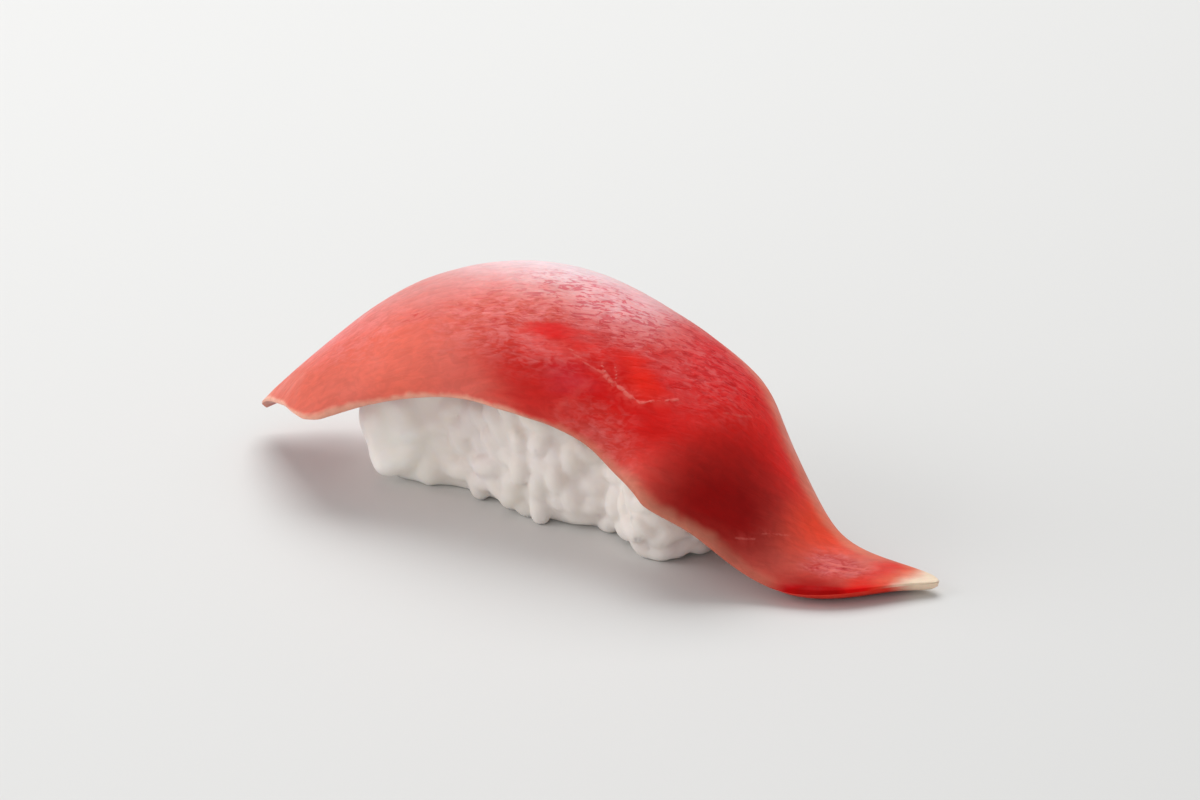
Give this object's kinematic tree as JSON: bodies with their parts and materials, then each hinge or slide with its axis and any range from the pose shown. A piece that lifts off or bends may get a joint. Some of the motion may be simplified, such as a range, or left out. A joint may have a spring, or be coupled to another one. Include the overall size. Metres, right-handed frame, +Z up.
{
  "type": "tuna nigiri sushi",
  "caption": "Hand-pressed oblong block of sushi rice with one long slice of raw tuna draped over it, its tail end trailing down to the table.",
  "frame": {"origin": "middle of the rice block's flat underside, on the table's surface", "axes": "+X along the slice towards its trailing tail, -Y towards the side the picture shows, +Z up"},
  "size_m": [0.0885, 0.0312, 0.0264],
  "materials": {
    "tuna": "wet, soft gloss",
    "rice": "moist, soft sheen"
  },
  "bodies": {
    "root": {"rice": "rice", "tuna_slice": "tuna"}
  },
  "joints": []
}
